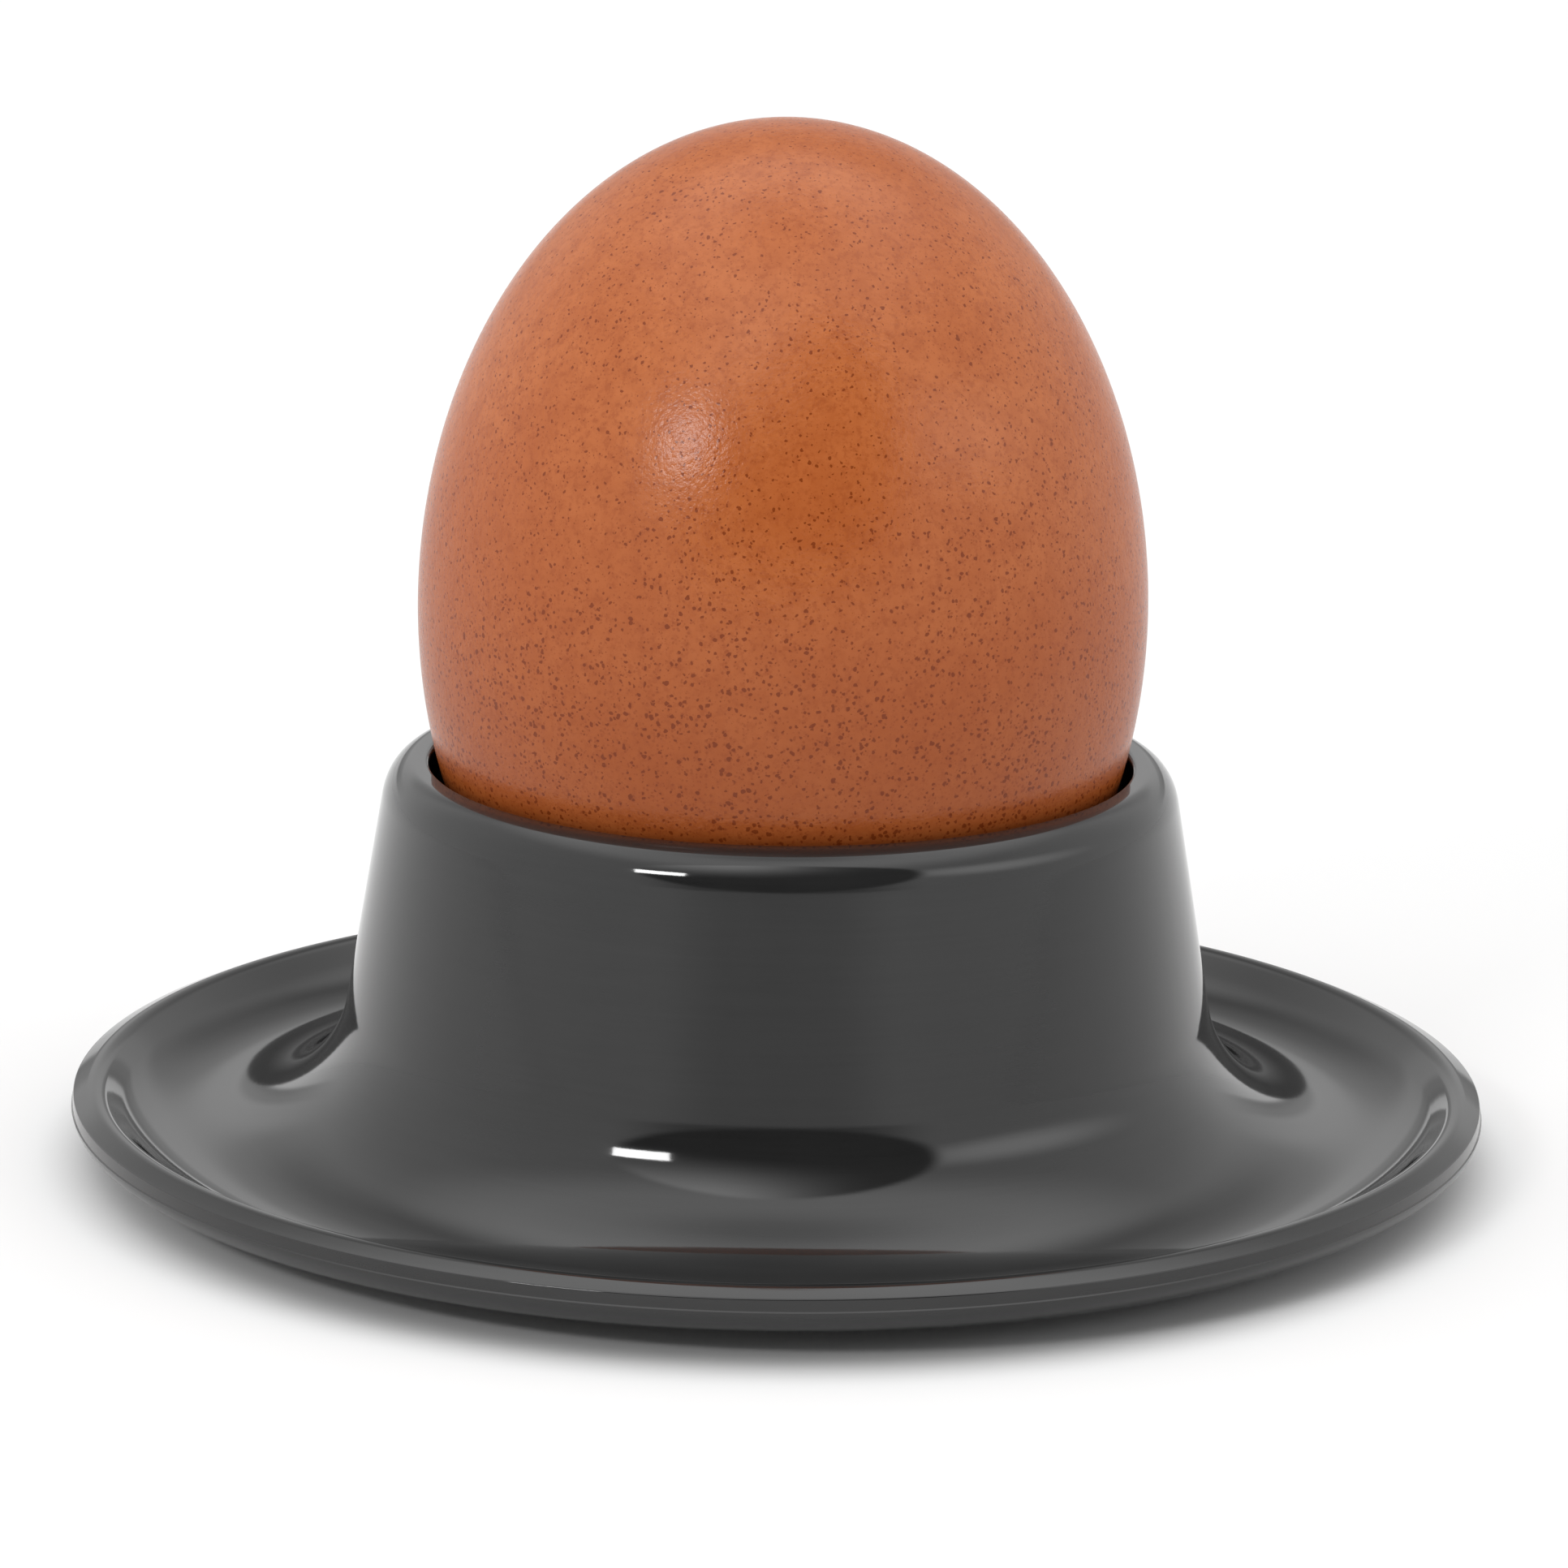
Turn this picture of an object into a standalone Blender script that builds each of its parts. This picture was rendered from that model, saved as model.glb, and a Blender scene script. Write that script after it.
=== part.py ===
"""A boiled egg standing in a round egg cup that is moulded in one piece with its saucer.

Run it with blender --background --python part.py, or from Blender's text editor.
The origin is at the centre of the saucer's base, +Z is up and lengths are in metres.
"""

import math

import bpy

MM = 0.001

# Both pieces are turned about the Z axis with this many facets.
FACETS = 64

# Saucer: a hollow that sweeps out of the cup's foot and up a steep face to a rounded rim.
SAUCER_RADIUS = 43.0 * MM
SIDE_FOOT_HEIGHT = 3.4 * MM
RIM_EDGE_RADIUS = 42.8 * MM
RIM_EDGE_HEIGHT = 4.2 * MM
RIM_EDGE_ROUNDING = 0.2 * MM
RIM_TOP_FALL = math.radians(7)
CREST_ROUNDING = 1.1 * MM
FACE_SLOPE = math.radians(43.5)
FACE_CURVE_WIDTH = 5.35 * MM
FACE_CURVE_HEIGHT = 3.64 * MM
HOLLOW_RADIUS = 35.6 * MM
HOLLOW_HEIGHT = 1.95 * MM

# Underside: a flat foot ring to stand on, round a shallow recess.
FOOT_RING_OUTER_RADIUS = 28.5 * MM
FOOT_RING_INNER_RADIUS = 25.5 * MM
RECESS_RADIUS = 24.5 * MM
RECESS_DEPTH = 1.0 * MM
RECESS_ROUNDING = 0.6 * MM

# Cup wall: upright where the hollow's curve ends, then tapering in to a rounded lip.
WALL_RADIUS = 25.6 * MM
WALL_FOOT_HEIGHT = 12.4 * MM
WALL_TAPER = math.radians(9.6)
WALL_BEND_HEIGHT = 13.4 * MM
WALL_BEND_ROUNDING = 9.0 * MM
CUP_HEIGHT = 24.4 * MM
LIP_OUTER_WIDTH = 2.0 * MM
LIP_OUTER_DROP = 2.9 * MM
LIP_FLAT_WIDTH = 0.6 * MM
LIP_INNER_WIDTH = 0.4 * MM
LIP_INNER_DROP = 0.6 * MM

# Bowl: a cone that the egg sits in, with a flat floor clear of the egg's blunt end.
BOWL_FLOOR_HEIGHT = 4.3 * MM
BOWL_FLOOR_ROUNDING = 4.0 * MM
BOWL_SHOULDER_ROUNDING = 6.0 * MM
SEAT_ANGLE = math.radians(138)
SEAT_GAP = 0.35 * MM

# Egg: an ellipse whose width is skewed a little towards the blunt end, which is at the bottom.
EGG_CENTRE_HEIGHT = 34.35 * MM
EGG_HALF_LENGTH = 28.9 * MM
EGG_HALF_WIDTH = 21.95 * MM
EGG_SKEW = -0.018
EGG_FULLNESS = 0.010
EGG_RINGS = 21


def clear_scene():
    """Remove every object that the file holds."""
    for existing in list(bpy.data.objects):
        bpy.data.objects.remove(existing, do_unlink=True)


def principled(name, colour, roughness):
    """A material with one Principled BSDF; colour is linear red, green and blue."""
    material = bpy.data.materials.new(name)
    material.use_nodes = True
    shader = material.node_tree.nodes["Principled BSDF"]
    shader.inputs["Base Color"].default_value = (*colour, 1.0)
    shader.inputs["Roughness"].default_value = roughness
    shader.inputs["Metallic"].default_value = 0.0
    material.diffuse_color = (*colour, 1.0)
    return material


def towards(start, angle, distance):
    """The profile point at this distance from start, at this angle above the outward direction."""
    return (start[0] + distance * math.cos(angle), start[1] + distance * math.sin(angle))


def crossing(first, first_angle, second, second_angle):
    """Where the line through first at first_angle meets the line through second at second_angle."""
    gap = (second[0] - first[0], second[1] - first[1])
    across = math.sin(second_angle - first_angle)
    distance = (gap[0] * math.sin(second_angle) - gap[1] * math.cos(second_angle)) / across
    return towards(first, first_angle, distance)


def ellipse_arc(centre, width, height, start, end, steps):
    """Points along an ellipse from start to end, both in degrees from the outward direction."""
    points = []
    for step in range(steps + 1):
        angle = math.radians(start + (end - start) * step / steps)
        across = width * math.cos(angle)
        up = height * math.sin(angle)
        points.append((centre[0] + across, centre[1] + up))
    return points


def rounded(before, corner, after, radius, steps):
    """Points of an arc that rounds the corner between the lines to before and to after."""
    angle_in = math.atan2(before[1] - corner[1], before[0] - corner[0])
    angle_out = math.atan2(after[1] - corner[1], after[0] - corner[0])
    opening = math.remainder(angle_out - angle_in, math.tau)
    bisector = angle_in + opening / 2
    centre = towards(corner, bisector, radius / abs(math.sin(opening / 2)))
    sweep = math.copysign(math.pi, opening) - opening
    first = angle_in - math.copysign(math.pi / 2, opening)
    return [towards(centre, first - sweep * step / steps, radius) for step in range(steps + 1)]


def egg_radius(angle):
    """The egg's radius where its curve's parameter is this angle down from the top."""
    up = math.cos(angle)
    return EGG_HALF_WIDTH * math.sin(angle) * (1 + EGG_SKEW * up + EGG_FULLNESS * up * up)


def egg_point(angle):
    """The egg's profile point at this parameter angle down from the top."""
    return (egg_radius(angle), EGG_CENTRE_HEIGHT + EGG_HALF_LENGTH * math.cos(angle))


def egg_profile():
    """The egg's outline from its bottom pole up to its top pole."""
    steps = EGG_RINGS + 1
    inner = [egg_point(math.pi * (1 - step / steps)) for step in range(1, steps)]
    bottom = (0.0, EGG_CENTRE_HEIGHT - EGG_HALF_LENGTH)
    top = (0.0, EGG_CENTRE_HEIGHT + EGG_HALF_LENGTH)
    return [bottom, *inner, top]


def seat_line():
    """A point on the bowl's cone, and the cone's rise angle: it runs beside the egg at the seat gap."""
    span = math.radians(1)
    lower = egg_point(SEAT_ANGLE + span)
    upper = egg_point(SEAT_ANGLE - span)
    rise = math.atan2(upper[1] - lower[1], upper[0] - lower[0])
    return towards(egg_point(SEAT_ANGLE), rise - math.pi / 2, SEAT_GAP), rise


def underside_profile():
    """From the recess's centre over the foot ring and up to the foot of the saucer's side."""
    centre = (0.0, RECESS_DEPTH)
    recess_corner = (RECESS_RADIUS, RECESS_DEPTH)
    ring_inner = (FOOT_RING_INNER_RADIUS, 0.0)
    belly_centre = (FOOT_RING_OUTER_RADIUS, SIDE_FOOT_HEIGHT)
    belly_width = SAUCER_RADIUS - FOOT_RING_OUTER_RADIUS
    return [
        centre,
        *rounded(centre, recess_corner, ring_inner, RECESS_ROUNDING, 2),
        ring_inner,
        *ellipse_arc(belly_centre, belly_width, SIDE_FOOT_HEIGHT, -90, 0, 6),
    ]


def saucer_profile():
    """The rim's side and top, over its crest, down the steep face and up the hollow to the wall."""
    side_foot = (SAUCER_RADIUS, SIDE_FOOT_HEIGHT)
    rim_edge = (RIM_EDGE_RADIUS, RIM_EDGE_HEIGHT)
    face_centre = (HOLLOW_RADIUS, HOLLOW_HEIGHT + FACE_CURVE_HEIGHT)
    face_turn = math.degrees(math.atan(math.tan(FACE_SLOPE) * FACE_CURVE_WIDTH / FACE_CURVE_HEIGHT))
    face = ellipse_arc(face_centre, FACE_CURVE_WIDTH, FACE_CURVE_HEIGHT, face_turn - 90, -90, 5)
    crest = crossing(face[0], FACE_SLOPE, rim_edge, -RIM_TOP_FALL)
    foot_centre = (HOLLOW_RADIUS, WALL_FOOT_HEIGHT)
    foot_width = HOLLOW_RADIUS - WALL_RADIUS
    foot_height = WALL_FOOT_HEIGHT - HOLLOW_HEIGHT
    return [
        *rounded(side_foot, rim_edge, crest, RIM_EDGE_ROUNDING, 2),
        *rounded(rim_edge, crest, face[0], CREST_ROUNDING, 4),
        *face,
        *ellipse_arc(foot_centre, foot_width, foot_height, -90, -180, 10)[1:],
    ]


def lip_profile():
    """The wall's bend and taper, and over the lip's rounded edge and flat top to the bowl's mouth."""
    squash = LIP_OUTER_DROP / LIP_OUTER_WIDTH
    leave = math.atan(math.tan(WALL_TAPER) * squash)
    lip_foot_out = LIP_OUTER_WIDTH * math.cos(leave)
    lip_foot_height = CUP_HEIGHT - LIP_OUTER_DROP * (1 - math.sin(leave))
    taper_in = (lip_foot_height - WALL_BEND_HEIGHT) * math.tan(WALL_TAPER)
    lip_foot = (WALL_RADIUS - taper_in, lip_foot_height)
    wall_bend = (WALL_RADIUS, WALL_BEND_HEIGHT)
    top_radius = lip_foot[0] - lip_foot_out
    outer_centre = (top_radius, CUP_HEIGHT - LIP_OUTER_DROP)
    inner_centre = (top_radius - LIP_FLAT_WIDTH, CUP_HEIGHT - LIP_INNER_DROP)
    outer = ellipse_arc(outer_centre, LIP_OUTER_WIDTH, LIP_OUTER_DROP, math.degrees(leave), 90, 5)
    inner = ellipse_arc(inner_centre, LIP_INNER_WIDTH, LIP_INNER_DROP, 90, 180, 3)
    return [
        *rounded((WALL_RADIUS, 0.0), wall_bend, lip_foot, WALL_BEND_ROUNDING, 2),
        *outer,
        *inner,
    ]


def bowl_profile(mouth):
    """From the bowl's mouth down its upright side and its cone to the middle of its floor."""
    seat, rise = seat_line()
    shoulder = crossing(seat, rise, mouth, math.pi / 2)
    floor_edge = crossing(seat, rise, (0.0, BOWL_FLOOR_HEIGHT), 0.0)
    floor_centre = (0.0, BOWL_FLOOR_HEIGHT)
    return [
        *rounded(mouth, shoulder, floor_edge, BOWL_SHOULDER_ROUNDING, 4),
        *rounded(shoulder, floor_edge, floor_centre, BOWL_FLOOR_ROUNDING, 3),
        floor_centre,
    ]


def cup_profile():
    """The whole outline of the cup and saucer, from the recess's centre to the bowl's floor."""
    outside = [*underside_profile(), *saucer_profile(), *lip_profile()]
    return [*outside, *bowl_profile(outside[-1])]


def turned(name, profile, material):
    """A closed solid of revolution; profile starts and ends on the Z axis, up its outer side."""
    points = []
    rings = []
    for radius, height in profile:
        on_axis = radius < 1e-9
        count = 1 if on_axis else FACETS
        rings.append([len(points) + index for index in range(count)] * (FACETS // count))
        for index in range(count):
            angle = math.tau * index / FACETS
            points.append((radius * math.cos(angle), radius * math.sin(angle), height))
    faces = []
    for lower, upper in zip(rings, rings[1:]):
        for index in range(FACETS):
            following = (index + 1) % FACETS
            corners = [lower[index], lower[following], upper[following], upper[index]]
            faces.append(list(dict.fromkeys(corners)))
    mesh = bpy.data.meshes.new(name)
    mesh.from_pydata(points, [], faces)
    mesh.shade_smooth()
    mesh.set_sharp_from_angle(angle=math.radians(40))
    mesh.materials.append(material)
    solid = bpy.data.objects.new(name, mesh)
    bpy.context.scene.collection.objects.link(solid)
    return solid


clear_scene()
turned("egg_cup", cup_profile(), principled("glossy_black", (0.022, 0.022, 0.022), 0.15))
turned("boiled_egg", egg_profile(), principled("brown_shell", (0.50, 0.12, 0.03), 0.42))
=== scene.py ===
import math

import bpy
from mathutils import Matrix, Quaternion, Vector


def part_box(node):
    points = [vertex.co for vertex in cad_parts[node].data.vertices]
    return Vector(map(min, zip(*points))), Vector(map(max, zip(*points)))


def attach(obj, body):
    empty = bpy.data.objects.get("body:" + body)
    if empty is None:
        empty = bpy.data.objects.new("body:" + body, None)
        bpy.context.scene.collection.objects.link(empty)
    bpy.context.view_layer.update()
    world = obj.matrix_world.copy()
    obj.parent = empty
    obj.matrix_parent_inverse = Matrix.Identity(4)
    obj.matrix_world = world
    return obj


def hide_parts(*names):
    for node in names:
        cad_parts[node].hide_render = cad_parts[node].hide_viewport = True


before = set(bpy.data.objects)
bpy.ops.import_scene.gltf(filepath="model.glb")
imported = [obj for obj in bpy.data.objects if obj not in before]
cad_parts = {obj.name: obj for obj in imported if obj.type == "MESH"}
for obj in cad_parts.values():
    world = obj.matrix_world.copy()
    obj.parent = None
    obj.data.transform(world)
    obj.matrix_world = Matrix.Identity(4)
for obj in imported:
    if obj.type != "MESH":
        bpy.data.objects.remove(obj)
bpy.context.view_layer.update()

MM = 0.001
CUP_LOW, CUP_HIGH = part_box("egg_cup")
EGG_LOW, EGG_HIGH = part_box("boiled_egg")

# Saucer: a hollow that sweeps out of the cup's foot and up a steep face to a rounded rim.
SAUCER_RADIUS = CUP_HIGH.x
SIDE_FOOT_HEIGHT = 3.4 * MM
RIM_EDGE_RADIUS = 42.88 * MM
RIM_EDGE_HEIGHT = 4.16 * MM
RIM_EDGE_ROUNDING = 0.12 * MM
PARTING_LEDGE = 0.07 * MM
RIM_TOP_FALL = math.radians(23.0)
CREST_ROUNDING = 1.1 * MM
FACE_SLOPE = math.radians(43.5)
FACE_CURVE_WIDTH = 5.35 * MM
FACE_CURVE_HEIGHT = 3.64 * MM
HOLLOW_RADIUS = 35.6 * MM
HOLLOW_HEIGHT = 1.95 * MM

# Underside: a flat foot ring to stand on, round a shallow recess.
FOOT_RING_OUTER_RADIUS = 28.5 * MM
FOOT_RING_INNER_RADIUS = 25.5 * MM
RECESS_RADIUS = 24.5 * MM
RECESS_DEPTH = 1.0 * MM
RECESS_ROUNDING = 0.6 * MM

# Cup wall: tapering in from the end of the hollow's curve to a rounded lip.
WALL_RADIUS = 25.6 * MM
WALL_GAUGE_HEIGHT = 13.4 * MM
WALL_TAPER = math.radians(9.6)
FOOT_CURVE_WIDTH = 9.43 * MM
FOOT_CURVE_HEIGHT = 8.7 * MM
CUP_HEIGHT = CUP_HIGH.z
LIP_OUTER_WIDTH = 2.0 * MM
LIP_OUTER_DROP = 2.9 * MM
LIP_FLAT_WIDTH = 0.6 * MM
LIP_INNER_WIDTH = 0.4 * MM
LIP_INNER_DROP = 0.6 * MM

# Bowl: a cone that the egg sits in, with a flat floor clear of the egg's blunt end.
BOWL_FLOOR_HEIGHT = 4.3 * MM
BOWL_FLOOR_ROUNDING = 4.0 * MM
BOWL_SHOULDER_ROUNDING = 6.0 * MM
SEAT_ANGLE = math.radians(138)
SEAT_SPAN = math.radians(1)
SEAT_GAP = 0.35 * MM

# Egg: an ellipse whose width is skewed a little towards the blunt end, which is at the bottom.
EGG_CENTRE_HEIGHT = (EGG_LOW.z + EGG_HIGH.z) / 2
EGG_HALF_LENGTH = (EGG_HIGH.z - EGG_LOW.z) / 2
EGG_HALF_WIDTH = EGG_HIGH.x
EGG_SKEW = -0.018
EGG_FULLNESS = 0.010

# Fineness of the turned meshes: facets round the axis, steps along each curve of the outline,
# the longest face along a straight run, and the sharpest angle that is still shaded smooth.
CUP_FACETS = 256
RECESS_STEPS = 4
BELLY_STEPS = 36
RIM_EDGE_STEPS = 8
CREST_STEPS = 16
FACE_STEPS = 24
FOOT_STEPS = 64
LIP_OUTER_STEPS = 24
LIP_INNER_STEPS = 12
BOWL_SHOULDER_STEPS = 12
BOWL_FLOOR_STEPS = 8
LONGEST_FACE = 0.6 * MM
CUP_SMOOTH_ANGLE = math.radians(35)
EGG_FACETS = 224
EGG_RINGS = 144
EGG_SMOOTH_ANGLE = math.radians(60)

# Colours, in linear red, green and blue.
PLASTIC_DARK = (0.0135, 0.0135, 0.0135)
PLASTIC_LIGHT = (0.0175, 0.0175, 0.0175)
SHELL_DEEP = (0.405, 0.107, 0.027)
SHELL_PALE = (0.445, 0.128, 0.036)
MOTTLE_BROWN = (0.31, 0.068, 0.014)
LOWER_BROWN = (0.30, 0.060, 0.009)
GRAIN_BROWN = (0.27, 0.055, 0.012)
DUST_BROWN = (0.21, 0.038, 0.008)
SPECK_BROWN = (0.17, 0.028, 0.004)
FLOOR_GREY = (0.78, 0.78, 0.78)

# The refractive index of both surfaces.
SURFACE_IOR = 1.5

# The shell gets deeper and more specked from the first of these heights down to the second, in mm.
SHELL_DEEPENING = (52.0, 26.0)

# As the shell turns edge-on, from the first share to the second, its sheen goes from level to level.
SHEEN_TURNING = (0.35, 0.85)
SHEEN_LEVELS = (0.26, 0.06)

# Floor
FLOOR_RADIUS = 6.0
FLOOR_CORNERS = 64
FLOOR_ROUGHNESS = 0.9

# Camera
CAMERA_TARGET = Vector((0.2, 0.0, 22.8)) * MM
CAMERA_DISTANCE = 390 * MM
CAMERA_ELEVATION = math.radians(13.71)
CAMERA_ROLL = math.radians(0.755)
CAMERA_LENS = 147.75
CAMERA_SENSOR = 36
CAMERA_CLIP_START = 10 * MM

# The room's brightness. Azimuths are in degrees to the right of the camera's side, from the object,
# and elevations are in degrees. A pair of angles is where a change begins and where it is complete.
# The level of the walls goes by the azimuth to either side, and behind the object by elevation.
HIGHEST_WALL_LEVEL = 1.2
WALL_LEVELS = ((0, 0.76), (12, 0.79), (35, 1.12), (100, 1.12), (125, 1.05), (180, 0.9))
BACK_LEVELS = (
    (0, 1.02), (4.2, 1.02), (5.4, 0.40), (9, 0.55), (11.5, 0.82),
    (16, 0.90), (21, 0.72), (32, 0.57), (45, 0.45),
)
BACK_AZIMUTHS = (140, 163)
CEILING_LEVEL = 2.0
CEILING_ELEVATIONS = (40, 62)
ZENITH_LEVEL = 1.25
ZENITH_ELEVATIONS = (68, 88)
SIDE_GLOW = {"azimuth": 64, "elevation": 26, "half_width": 18, "half_height": 9, "lean": -1.9, "edge": 0.8}
SIDE_GLOW_LEVEL = 2.5

# The dark opening round the camera, its dim sill, and the ceiling that shows in its upper part.
OPENING = {"azimuth": 0, "elevation": 35.5, "half_width": 45, "half_height": 27.5, "lean": 0.0, "edge": 0.07}
OPENING_LEVEL = 0.04
SILL_ELEVATIONS = (4.5, 8.5)
SILL_AZIMUTHS = (45, 20)
SILL_DIMMING = 0.6
OPENING_CEILING_LEFT = 3.2
OPENING_CEILING_RIGHT = 0.25
OPENING_CEILING_AZIMUTHS = (-25, 35)
OPENING_CEILING_ELEVATIONS = (31, 66)
OPENING_CEILING_SLANT = 0.15

# The softbox, at the front left: place, width and height in degrees, tilt in degrees and power in watts.
KEY_AZIMUTH = -36.3
KEY_ELEVATION = 30.3
KEY_WIDTH = 13.5
KEY_HEIGHT = 6
KEY_TILT = 9
KEY_POWER = 2.9
KEY_DISTANCE = 1.2
KEY_AIM = Vector((0.0, 0.0, 0.02))


# Outlines: each point is a distance from the Z axis and a height.

def towards(start, angle, distance):
    """The profile point at this distance from start, at this angle above the outward direction."""
    return (start[0] + distance * math.cos(angle), start[1] + distance * math.sin(angle))


def crossing(first, first_angle, second, second_angle):
    """Where the line through first at first_angle meets the line through second at second_angle."""
    gap = (second[0] - first[0], second[1] - first[1])
    across = math.sin(second_angle - first_angle)
    distance = (gap[0] * math.sin(second_angle) - gap[1] * math.cos(second_angle)) / across
    return towards(first, first_angle, distance)


def ellipse_arc(centre, width, height, start, end, steps):
    """Points along an ellipse from start to end, both in degrees from the outward direction."""
    points = []
    for step in range(steps + 1):
        angle = math.radians(start + (end - start) * step / steps)
        points.append((centre[0] + width * math.cos(angle), centre[1] + height * math.sin(angle)))
    return points


def stretched(angle, length, width):
    """The angle whose tangent is that of the given one times length over width."""
    return math.atan(math.tan(angle) * length / width)


def rounded(before, corner, after, radius, steps):
    """Points of an arc that rounds the corner between the lines to before and to after."""
    angle_in = math.atan2(before[1] - corner[1], before[0] - corner[0])
    angle_out = math.atan2(after[1] - corner[1], after[0] - corner[0])
    opening = math.remainder(angle_out - angle_in, math.tau)
    centre = towards(corner, angle_in + opening / 2, radius / abs(math.sin(opening / 2)))
    sweep = math.copysign(math.pi, opening) - opening
    first = angle_in - math.copysign(math.pi / 2, opening)
    return [towards(centre, first - sweep * step / steps, radius) for step in range(steps + 1)]


def egg_point(angle):
    """The egg's profile point at this parameter angle down from the top."""
    up = math.cos(angle)
    radius = EGG_HALF_WIDTH * math.sin(angle) * (1 + EGG_SKEW * up + EGG_FULLNESS * up * up)
    return (radius, EGG_CENTRE_HEIGHT + EGG_HALF_LENGTH * up)


def egg_profile():
    """The egg's outline from its bottom pole up to its top pole."""
    steps = EGG_RINGS + 1
    inner = [egg_point(math.pi * (1 - step / steps)) for step in range(1, steps)]
    return [(0.0, EGG_LOW.z), *inner, (0.0, EGG_HIGH.z)]


def seat_line():
    """A point on the bowl's cone, and the cone's rise angle: it runs beside the egg at the seat gap."""
    lower = egg_point(SEAT_ANGLE + SEAT_SPAN)
    upper = egg_point(SEAT_ANGLE - SEAT_SPAN)
    rise = math.atan2(upper[1] - lower[1], upper[0] - lower[0])
    return towards(egg_point(SEAT_ANGLE), rise - math.pi / 2, SEAT_GAP), rise


def underside_profile():
    """From the recess's centre over the foot ring and up to the foot of the saucer's side."""
    centre = (0.0, RECESS_DEPTH)
    recess_corner = (RECESS_RADIUS, RECESS_DEPTH)
    ring_inner = (FOOT_RING_INNER_RADIUS, 0.0)
    belly_centre = (FOOT_RING_OUTER_RADIUS, SIDE_FOOT_HEIGHT)
    belly_width = SAUCER_RADIUS - FOOT_RING_OUTER_RADIUS
    return [
        centre,
        *rounded(centre, recess_corner, ring_inner, RECESS_ROUNDING, RECESS_STEPS),
        ring_inner,
        *ellipse_arc(belly_centre, belly_width, SIDE_FOOT_HEIGHT, -90, 0, BELLY_STEPS),
    ]


def saucer_profile():
    """The rim's side and top, over its crest, down the steep face and up the hollow to the wall."""
    side_foot = (SAUCER_RADIUS - PARTING_LEDGE, SIDE_FOOT_HEIGHT + PARTING_LEDGE)
    rim_edge = (RIM_EDGE_RADIUS, RIM_EDGE_HEIGHT)
    face_centre = (HOLLOW_RADIUS, HOLLOW_HEIGHT + FACE_CURVE_HEIGHT)
    face_turn = math.degrees(stretched(FACE_SLOPE, FACE_CURVE_WIDTH, FACE_CURVE_HEIGHT))
    face = ellipse_arc(face_centre, FACE_CURVE_WIDTH, FACE_CURVE_HEIGHT, face_turn - 90, -90, FACE_STEPS)
    crest = crossing(face[0], FACE_SLOPE, rim_edge, -RIM_TOP_FALL)
    foot_centre = (HOLLOW_RADIUS, HOLLOW_HEIGHT + FOOT_CURVE_HEIGHT)
    foot_turn = math.degrees(stretched(WALL_TAPER, FOOT_CURVE_HEIGHT, FOOT_CURVE_WIDTH))
    foot = ellipse_arc(foot_centre, FOOT_CURVE_WIDTH, FOOT_CURVE_HEIGHT, -90, foot_turn - 180, FOOT_STEPS)
    return [
        side_foot,
        *rounded(side_foot, rim_edge, crest, RIM_EDGE_ROUNDING, RIM_EDGE_STEPS),
        *rounded(rim_edge, crest, face[0], CREST_ROUNDING, CREST_STEPS),
        *face,
        *foot[1:],
    ]


def lip_profile():
    """Over the lip's rounded edge, from the top of the wall's taper, and its flat top to the bowl's mouth."""
    leave = stretched(WALL_TAPER, LIP_OUTER_DROP, LIP_OUTER_WIDTH)
    lip_foot_out = LIP_OUTER_WIDTH * math.cos(leave)
    lip_foot_height = CUP_HEIGHT - LIP_OUTER_DROP * (1 - math.sin(leave))
    taper_in = (lip_foot_height - WALL_GAUGE_HEIGHT) * math.tan(WALL_TAPER)
    lip_foot_radius = WALL_RADIUS - taper_in
    top_radius = lip_foot_radius - lip_foot_out
    outer_centre = (top_radius, CUP_HEIGHT - LIP_OUTER_DROP)
    inner_centre = (top_radius - LIP_FLAT_WIDTH, CUP_HEIGHT - LIP_INNER_DROP)
    return [
        *ellipse_arc(outer_centre, LIP_OUTER_WIDTH, LIP_OUTER_DROP, math.degrees(leave), 90, LIP_OUTER_STEPS),
        *ellipse_arc(inner_centre, LIP_INNER_WIDTH, LIP_INNER_DROP, 90, 180, LIP_INNER_STEPS),
    ]


def bowl_profile(mouth):
    """From the bowl's mouth down its upright side and its cone to the middle of its floor."""
    seat, rise = seat_line()
    shoulder = crossing(seat, rise, mouth, math.pi / 2)
    floor_centre = (0.0, BOWL_FLOOR_HEIGHT)
    floor_edge = crossing(seat, rise, floor_centre, 0.0)
    return [
        *rounded(mouth, shoulder, floor_edge, BOWL_SHOULDER_ROUNDING, BOWL_SHOULDER_STEPS),
        *rounded(shoulder, floor_edge, floor_centre, BOWL_FLOOR_ROUNDING, BOWL_FLOOR_STEPS),
        floor_centre,
    ]


def cup_profile():
    """The whole outline of the cup and saucer, from the recess's centre to the bowl's floor."""
    outside = [*underside_profile(), *saucer_profile(), *lip_profile()]
    return [*outside, *bowl_profile(outside[-1])]


def finely_divided(profile):
    """The same outline with points added along its straight runs, so that shading stays true there."""
    points = [profile[0]]
    for start, end in zip(profile, profile[1:]):
        pieces = max(1, math.ceil(math.dist(start, end) / LONGEST_FACE))
        for piece in range(1, pieces + 1):
            share = piece / pieces
            points.append((start[0] + (end[0] - start[0]) * share, start[1] + (end[1] - start[1]) * share))
    return points


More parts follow.
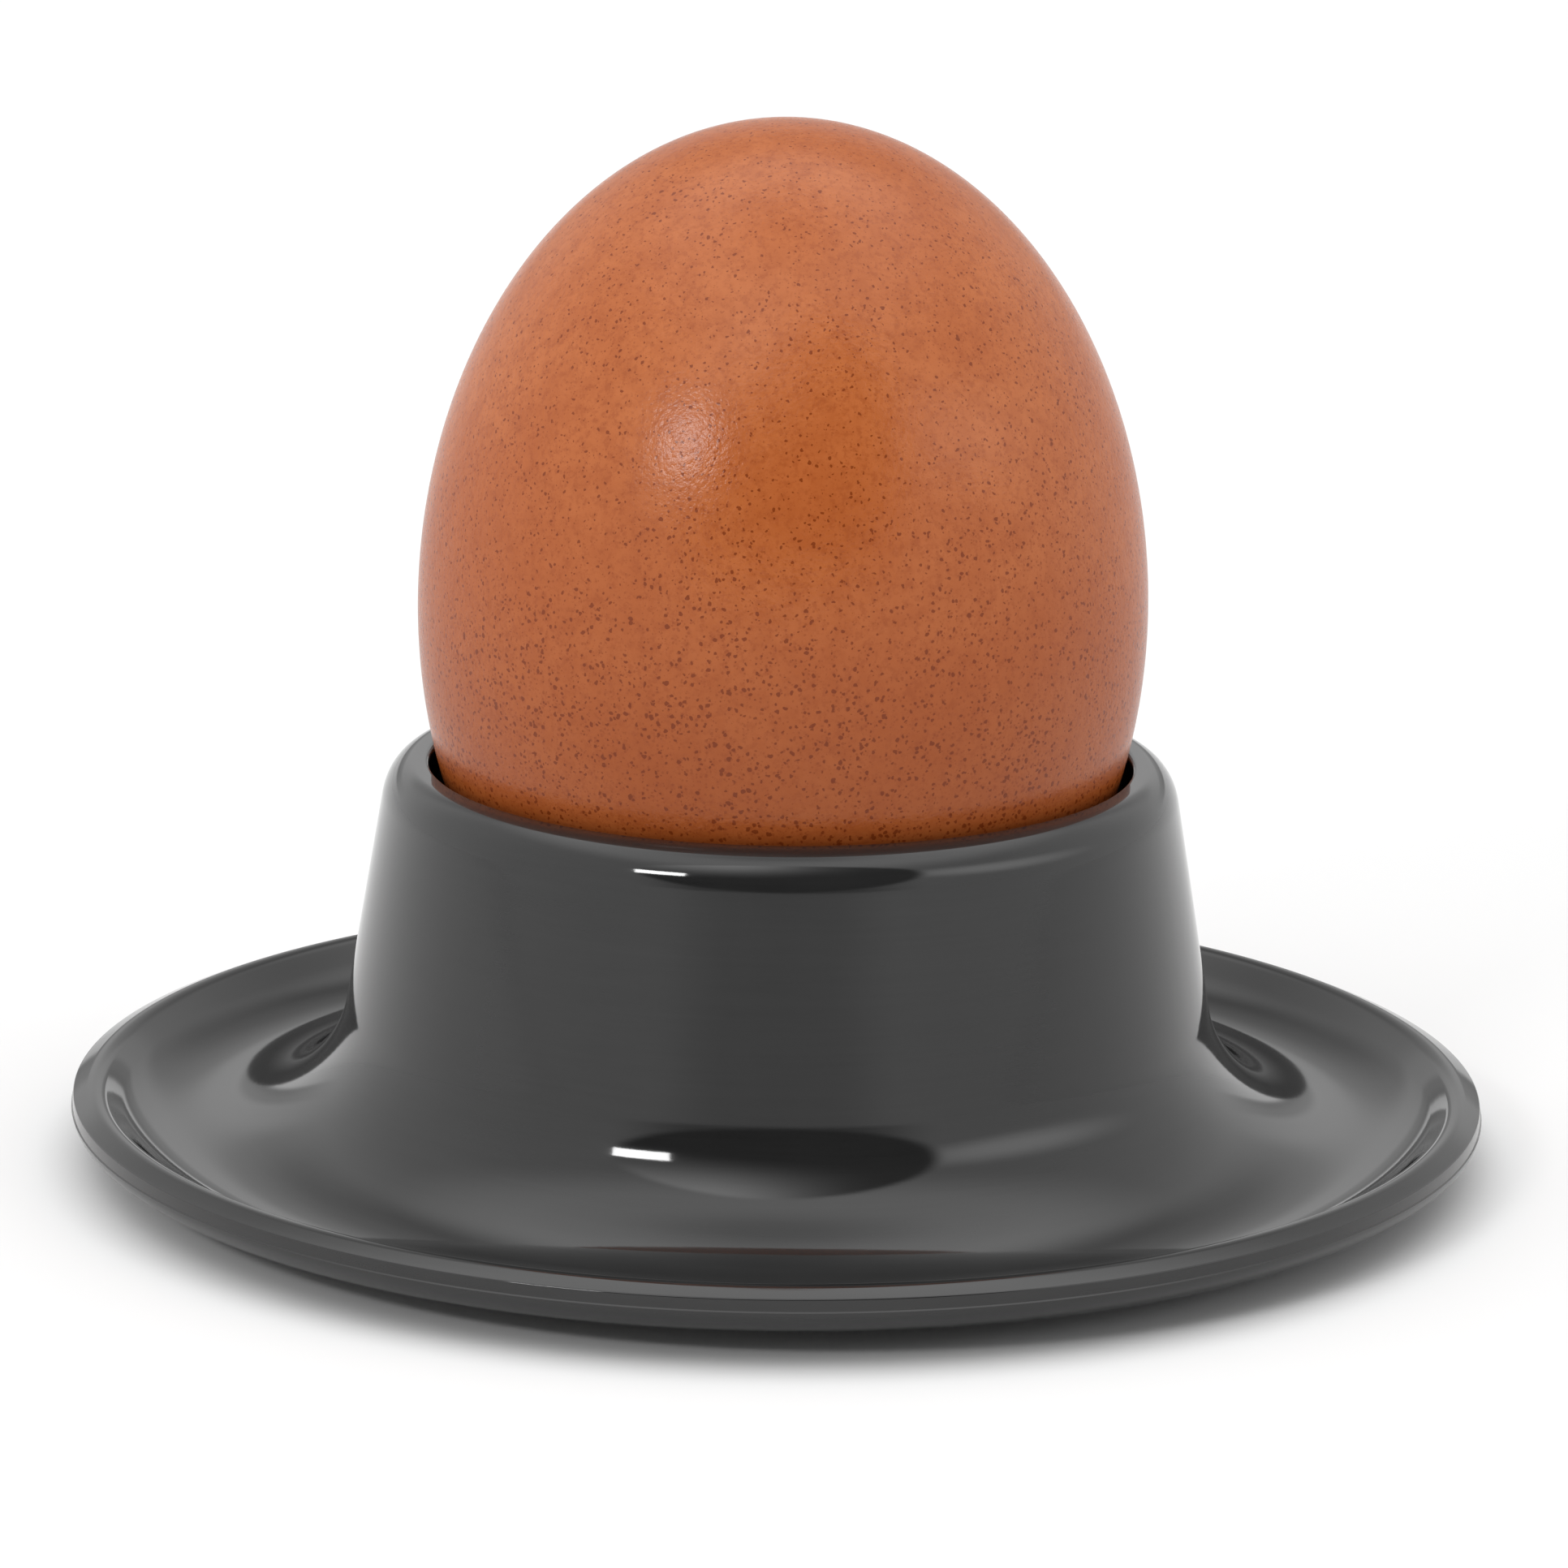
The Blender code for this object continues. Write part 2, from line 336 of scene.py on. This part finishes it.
def turned(name, profile, facets, smooth_angle):
    """A closed mesh of revolution; profile starts and ends on the Z axis, up its outer side."""
    points = []
    rings = []
    for radius, height in profile:
        on_axis = radius < 1e-9
        count = 1 if on_axis else facets
        rings.append([len(points) + index for index in range(count)] * (facets // count))
        for index in range(count):
            angle = math.tau * index / facets
            points.append((radius * math.cos(angle), radius * math.sin(angle), height))
    faces = []
    for lower, upper in zip(rings, rings[1:]):
        for index in range(facets):
            following = (index + 1) % facets
            corners = [lower[index], lower[following], upper[following], upper[index]]
            faces.append(list(dict.fromkeys(corners)))
    mesh = bpy.data.meshes.new(name)
    mesh.from_pydata(points, [], faces)
    mesh.shade_smooth()
    mesh.set_sharp_from_angle(angle=smooth_angle)
    piece = bpy.data.objects.new(name, mesh)
    bpy.context.scene.collection.objects.link(piece)
    return piece


# Nodes that the materials and the room share. A value is a number or a socket.

def plug(tree, socket, value):
    """Set a socket to a number, or link another socket to it."""
    if isinstance(value, (int, float)):
        socket.default_value = value
    else:
        tree.links.new(value, socket)


def maths(tree, operation, first, second=0.0):
    """A maths node's result for two values."""
    node = tree.nodes.new("ShaderNodeMath")
    node.operation = operation
    plug(tree, node.inputs[0], first)
    plug(tree, node.inputs[1], second)
    return node.outputs[0]


def times(tree, first, second):
    """The product of two values."""
    return maths(tree, "MULTIPLY", first, second)


def weighted_sum(tree, *terms, base=0.0):
    """The sum of each term's value times its weight, plus the base."""
    total, *others = [times(tree, value, weight) for value, weight in terms]
    for product in others:
        total = maths(tree, "ADD", total, product)
    return maths(tree, "ADD", total, base)


def diagonal(tree, first, second):
    """The root of the sum of two squares."""
    squares = maths(tree, "ADD", times(tree, first, first), times(tree, second, second))
    return maths(tree, "SQRT", squares)


def mixed(tree, share, low, high):
    """The value between low and high at this share."""
    node = tree.nodes.new("ShaderNodeMix")
    plug(tree, node.inputs[0], share)
    plug(tree, node.inputs[2], low)
    plug(tree, node.inputs[3], high)
    return node.outputs[0]


def eased(tree, value, low, high):
    """A smooth step that is 0 where the value is low and 1 where it is high."""
    node = tree.nodes.new("ShaderNodeMapRange")
    node.interpolation_type = "SMOOTHSTEP"
    tree.links.new(value, node.inputs["Value"])
    node.inputs["From Min"].default_value = low
    node.inputs["From Max"].default_value = high
    return node.outputs["Result"]


def parts_of(tree, vector):
    """The three parts of a vector."""
    split = tree.nodes.new("ShaderNodeSeparateXYZ")
    tree.links.new(vector, split.inputs[0])
    return split.outputs["X"], split.outputs["Y"], split.outputs["Z"]


def joined(tree, x, y, z):
    """A vector of three values."""
    join = tree.nodes.new("ShaderNodeCombineXYZ")
    for socket, value in zip(join.inputs, (x, y, z)):
        plug(tree, socket, value)
    return join.outputs["Vector"]


# Materials

def material_with_shader(name):
    """A new material, its node tree and its Principled shader."""
    material = bpy.data.materials.new(name)
    material.use_nodes = True
    tree = material.node_tree
    return material, tree, tree.nodes["Principled BSDF"]


def in_millimetres(tree):
    """The point on the object, in millimetres."""
    point = tree.nodes.new("ShaderNodeTexCoord").outputs["Object"]
    node = tree.nodes.new("ShaderNodeVectorMath")
    node.operation = "SCALE"
    tree.links.new(point, node.inputs[0])
    node.inputs["Scale"].default_value = 1 / MM
    return node.outputs["Vector"]


def noise(tree, point, per_mm, detail=2.0, roughness=0.5):
    """Smooth noise, about 0.5 on average, with this many waves to the millimetre."""
    node = tree.nodes.new("ShaderNodeTexNoise")
    tree.links.new(point, node.inputs["Vector"])
    node.inputs["Scale"].default_value = per_mm
    node.inputs["Detail"].default_value = detail
    node.inputs["Roughness"].default_value = roughness
    return node.outputs["Fac"]


def warped(tree, point, per_mm, reach):
    """The point moved about by noise, by up to this reach in millimetres."""
    node = tree.nodes.new("ShaderNodeTexNoise")
    tree.links.new(point, node.inputs["Vector"])
    node.inputs["Scale"].default_value = per_mm
    node.inputs["Detail"].default_value = 1.0
    shift = tree.nodes.new("ShaderNodeVectorMath")
    shift.operation = "MULTIPLY_ADD"
    tree.links.new(node.outputs["Color"], shift.inputs[0])
    shift.inputs[1].default_value = (reach, reach, reach)
    tree.links.new(point, shift.inputs[2])
    return shift.outputs["Vector"]


def spots(tree, point, per_mm, radius, share, edge=0.06):
    """1 in the middle of each spot and 0 between spots.

    There are this many spacings to the millimetre, and radius and edge are in spacings. The largest
    spot has this radius and the smallest half of it, and share scales them all.
    """
    cells = tree.nodes.new("ShaderNodeTexVoronoi")
    tree.links.new(point, cells.inputs["Vector"])
    cells.inputs["Scale"].default_value = per_mm
    chance = parts_of(tree, cells.outputs["Color"])[0]
    size = weighted_sum(tree, (chance, 0.5 * radius), base=0.5 * radius)
    inner = maths(tree, "SUBTRACT", times(tree, size, share), cells.outputs["Distance"])
    return eased(tree, inner, 0.0, edge)


def colour_mix(tree, share, low, high):
    """The colour between low and high at this share; a colour is a socket or linear red, green, blue."""
    node = tree.nodes.new("ShaderNodeMix")
    node.data_type = "RGBA"
    tree.links.new(share, node.inputs[0])
    for socket, value in zip((node.inputs[6], node.inputs[7]), (low, high)):
        if isinstance(value, tuple):
            socket.default_value = (*value, 1)
        else:
            tree.links.new(value, socket)
    return node.outputs[2]


def bumped(tree, height, distance, strength, below=None):
    """A normal tilted by a height of this many metres at 1, on top of an earlier one."""
    node = tree.nodes.new("ShaderNodeBump")
    tree.links.new(height, node.inputs["Height"])
    node.inputs["Distance"].default_value = distance
    node.inputs["Strength"].default_value = strength
    if below is not None:
        tree.links.new(below, node.inputs["Normal"])
    return node.outputs["Normal"]


def gloss_plastic():
    """Dark neutral plastic with a moulded gloss, faint turning marks and fine handling haze."""
    material, tree, shader = material_with_shader("gloss_plastic")
    point = in_millimetres(tree)
    x, y, z = parts_of(tree, point)
    around = maths(tree, "ARCTAN2", y, x)
    ring = joined(tree, diagonal(tree, x, y), times(tree, around, 1.2), z)
    turning = noise(tree, ring, per_mm=2.4, detail=3.0, roughness=0.6)
    haze = noise(tree, point, per_mm=0.09, detail=4.0, roughness=0.6)
    grain = noise(tree, point, per_mm=3.5)

    tone = weighted_sum(tree, (haze, 0.6), (turning, 0.4))
    colour = colour_mix(tree, eased(tree, tone, 0.3, 0.7), PLASTIC_DARK, PLASTIC_LIGHT)
    tree.links.new(colour, shader.inputs["Base Color"])
    matt = weighted_sum(tree, (haze, 0.04), (turning, 0.02), base=0.03)
    tree.links.new(matt, shader.inputs["Roughness"])
    shader.inputs["IOR"].default_value = SURFACE_IOR
    normal = bumped(tree, turning, distance=0.002 * MM, strength=0.5)
    normal = bumped(tree, grain, distance=0.0006 * MM, strength=0.5, below=normal)
    tree.links.new(normal, shader.inputs["Normal"])
    return material


def shell_colour(tree, point, mottle):
    """Blotched and mottled brown that deepens lower down, with grain, fine dots and larger specks."""
    height = parts_of(tree, point)[2]
    lower = eased(tree, height, *SHELL_DEEPENING)
    blotches = noise(tree, point, per_mm=0.11, detail=3.0, roughness=0.55)
    grain = noise(tree, point, per_mm=2.3, detail=3.0, roughness=0.7)
    crowding = noise(tree, point, per_mm=0.16)
    crowd = weighted_sum(tree, (lower, 0.30), (crowding, 0.6), base=0.4)
    dust = spots(tree, warped(tree, point, per_mm=6.0, reach=0.12), per_mm=3.6, radius=0.38, share=crowd)
    specks = spots(tree, warped(tree, point, per_mm=3.0, reach=0.30), per_mm=2.5, radius=0.40, share=crowd)

    colour = colour_mix(tree, eased(tree, blotches, 0.32, 0.68), SHELL_DEEP, SHELL_PALE)
    layers = (
        (eased(tree, mottle, 0.35, 0.7), 0.35, MOTTLE_BROWN),
        (lower, 0.50, LOWER_BROWN),
        (eased(tree, grain, 0.46, 0.68), 0.45, GRAIN_BROWN),
        (dust, 0.45, DUST_BROWN),
        (specks, 0.85, SPECK_BROWN),
    )
    for cover, strength, brown in layers:
        colour = colour_mix(tree, times(tree, cover, strength), colour, brown)
    return colour


def shell():
    """Brown eggshell: mottled, finely speckled and pored, with a dull sheen."""
    material, tree, shader = material_with_shader("brown_shell")
    point = in_millimetres(tree)
    mottle = noise(tree, point, per_mm=0.75, detail=3.0, roughness=0.6)
    pores = noise(tree, point, per_mm=3.8, roughness=0.6)

    tree.links.new(shell_colour(tree, point, mottle), shader.inputs["Base Color"])
    tree.links.new(weighted_sum(tree, (pores, 0.14), base=0.15), shader.inputs["Roughness"])
    shader.inputs["IOR"].default_value = SURFACE_IOR
    edge_on = tree.nodes.new("ShaderNodeLayerWeight")
    edge_on.inputs["Blend"].default_value = 0.5
    turning = eased(tree, edge_on.outputs["Facing"], *SHEEN_TURNING)
    tree.links.new(mixed(tree, turning, *SHEEN_LEVELS), shader.inputs["Specular IOR Level"])
    normal = bumped(tree, mottle, distance=0.03 * MM, strength=0.5)
    normal = bumped(tree, pores, distance=0.03 * MM, strength=0.8, below=normal)
    tree.links.new(normal, shader.inputs["Normal"])
    return material


# The room

def add_floor():
    """A plain pale floor at the height that the saucer stands on."""
    mesh = bpy.data.meshes.new("floor")
    turns = [math.tau * corner / FLOOR_CORNERS for corner in range(FLOOR_CORNERS)]
    corners = [(math.cos(turn) * FLOOR_RADIUS, math.sin(turn) * FLOOR_RADIUS, 0.0) for turn in turns]
    mesh.from_pydata(corners, [], [list(range(FLOOR_CORNERS))])
    floor = bpy.data.objects.new("floor", mesh)
    bpy.context.scene.collection.objects.link(floor)
    floor.location.z = CUP_LOW.z
    material, _, shader = material_with_shader("pale_floor")
    shader.inputs["Base Color"].default_value = (*FLOOR_GREY, 1)
    shader.inputs["Roughness"].default_value = FLOOR_ROUGHNESS
    mesh.materials.append(material)


def outside_oval(tree, azimuth, elevation, oval):
    """0 inside an oval part of the sky and 1 outside it, with a soft edge. Angles are in degrees."""
    up = maths(tree, "SUBTRACT", elevation, oval["elevation"])
    aside = maths(tree, "SUBTRACT", azimuth, oval["azimuth"])
    aside = maths(tree, "SUBTRACT", aside, times(tree, up, oval["lean"]))
    across = maths(tree, "DIVIDE", aside, oval["half_width"])
    upward = maths(tree, "DIVIDE", up, oval["half_height"])
    return eased(tree, diagonal(tree, across, upward), 1 - oval["edge"], 1 + oval["edge"])


def levels_by_angle(tree, angle, levels):
    """The brightness at an angle, easing between pairs of an angle in degrees and a level."""
    ramp = tree.nodes.new("ShaderNodeValToRGB")
    ramp.color_ramp.interpolation = "EASE"
    tree.links.new(maths(tree, "DIVIDE", angle, 180.0), ramp.inputs["Fac"])
    stops = ramp.color_ramp.elements
    while len(stops) < len(levels):
        stops.new(0.5)
    for stop, (degrees, level) in zip(stops, levels):
        grey = level / HIGHEST_WALL_LEVEL
        stop.position = degrees / 180
        stop.color = (grey, grey, grey, 1)
    return times(tree, ramp.outputs["Color"], HIGHEST_WALL_LEVEL)


def wall_level(tree, azimuth, elevation):
    """The walls' brightness, which is dimmer at the opening's sill."""
    aside = maths(tree, "ABSOLUTE", azimuth)
    sides = levels_by_angle(tree, aside, WALL_LEVELS)
    back = levels_by_angle(tree, elevation, BACK_LEVELS)
    level = mixed(tree, eased(tree, aside, *BACK_AZIMUTHS), sides, back)
    sill = times(tree, eased(tree, elevation, *SILL_ELEVATIONS), eased(tree, aside, *SILL_AZIMUTHS))
    return times(tree, level, maths(tree, "SUBTRACT", 1.0, times(tree, sill, SILL_DIMMING)))


def opening_level(tree, azimuth, elevation):
    """The brightness inside the opening: dark, under a ceiling that is brighter on the left."""
    rightward = eased(tree, azimuth, *OPENING_CEILING_AZIMUTHS)
    ceiling = mixed(tree, rightward, OPENING_CEILING_LEFT, OPENING_CEILING_RIGHT)
    slanted = maths(tree, "SUBTRACT", elevation, times(tree, azimuth, OPENING_CEILING_SLANT))
    return mixed(tree, eased(tree, slanted, *OPENING_CEILING_ELEVATIONS), OPENING_LEVEL, ceiling)


def add_world():
    """A pale room that is brightest high up and dimmer behind, with a dark opening round the camera."""
    world = bpy.data.worlds.new("studio")
    bpy.context.scene.world = world
    world.use_nodes = True
    tree = world.node_tree
    background = tree.nodes["Background"]
    background.inputs["Color"].default_value = (1, 1, 1, 1)
    x, y, z = parts_of(tree, tree.nodes.new("ShaderNodeTexCoord").outputs["Generated"])
    azimuth = times(tree, maths(tree, "ARCTAN2", x, times(tree, y, -1.0)), math.degrees(1))
    elevation = times(tree, maths(tree, "ARCSINE", z), math.degrees(1))

    ceiling = mixed(tree, eased(tree, elevation, *ZENITH_ELEVATIONS), CEILING_LEVEL, ZENITH_LEVEL)
    walls = wall_level(tree, azimuth, elevation)
    level = mixed(tree, eased(tree, elevation, *CEILING_ELEVATIONS), walls, ceiling)
    level = mixed(tree, outside_oval(tree, azimuth, elevation, SIDE_GLOW), SIDE_GLOW_LEVEL, level)
    inside = opening_level(tree, azimuth, elevation)
    level = mixed(tree, outside_oval(tree, azimuth, elevation, OPENING), inside, level)
    tree.links.new(level, background.inputs["Strength"])


def add_key_light():
    """A small bright softbox."""
    light = bpy.data.lights.new("key", "AREA")
    light.shape = "RECTANGLE"
    light.size = 2 * KEY_DISTANCE * math.tan(math.radians(KEY_WIDTH / 2))
    light.size_y = 2 * KEY_DISTANCE * math.tan(math.radians(KEY_HEIGHT / 2))
    light.energy = KEY_POWER
    lamp = bpy.data.objects.new("key", light)
    bpy.context.scene.collection.objects.link(lamp)
    turn = math.radians(KEY_AZIMUTH)
    climb = math.radians(KEY_ELEVATION)
    outward = Vector((math.sin(turn) * math.cos(climb), -math.cos(turn) * math.cos(climb), math.sin(climb)))
    lamp.location = KEY_AIM + outward * KEY_DISTANCE
    facing = outward.to_track_quat("Z", "Y")
    lamp.rotation_euler = (facing @ Quaternion((0, 0, 1), math.radians(KEY_TILT))).to_euler()


def add_camera():
    """The camera that the main view is taken with."""
    camera = bpy.data.cameras.new("camera")
    camera.lens = CAMERA_LENS
    camera.sensor_width = CAMERA_SENSOR
    camera.clip_start = CAMERA_CLIP_START
    holder = bpy.data.objects.new("camera", camera)
    bpy.context.scene.collection.objects.link(holder)
    back = Vector((0, -math.cos(CAMERA_ELEVATION), math.sin(CAMERA_ELEVATION)))
    holder.location = CAMERA_TARGET + back * CAMERA_DISTANCE
    facing = back.to_track_quat("Z", "Y")
    holder.rotation_euler = (facing @ Quaternion((0, 0, 1), CAMERA_ROLL)).to_euler()
    bpy.context.scene.camera = holder


def place(piece, node, material):
    """Give a piece its material, let it ride on the root body and stand for its CAD node."""
    piece.data.materials.append(material)
    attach(piece, "root")
    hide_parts(node)


bpy.context.scene.view_settings.view_transform = "Standard"
cup = turned("egg_cup_and_saucer", finely_divided(cup_profile()), CUP_FACETS, CUP_SMOOTH_ANGLE)
egg = turned("egg_in_shell", egg_profile(), EGG_FACETS, EGG_SMOOTH_ANGLE)
place(cup, "egg_cup", gloss_plastic())
place(egg, "boiled_egg", shell())
add_floor()
add_world()
add_key_light()
add_camera()
